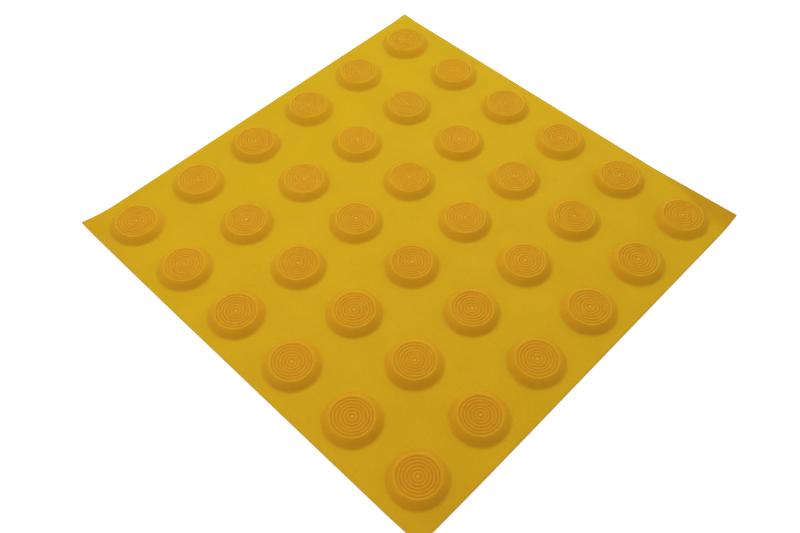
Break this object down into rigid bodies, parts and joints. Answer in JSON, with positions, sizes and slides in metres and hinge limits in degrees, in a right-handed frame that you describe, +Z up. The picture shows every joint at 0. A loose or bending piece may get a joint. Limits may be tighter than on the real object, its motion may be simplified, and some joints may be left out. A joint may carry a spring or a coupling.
{
  "type": "tactile paving tile",
  "caption": "Thin square surface tile with a grid of raised truncated-cone studs, each topped with concentric anti-slip rings, that warns walkers underfoot.",
  "frame": {"origin": "centre of the flat underside", "axes": "+Z up through the studs, X and Y along the stud rows"},
  "size_m": [0.3, 0.3, 0.007],
  "materials": {
    "yellow_polyurethane": "satin moulded yellow polyurethane"
  },
  "bodies": {
    "root": {"tactile_slab": "yellow_polyurethane"}
  },
  "joints": []
}
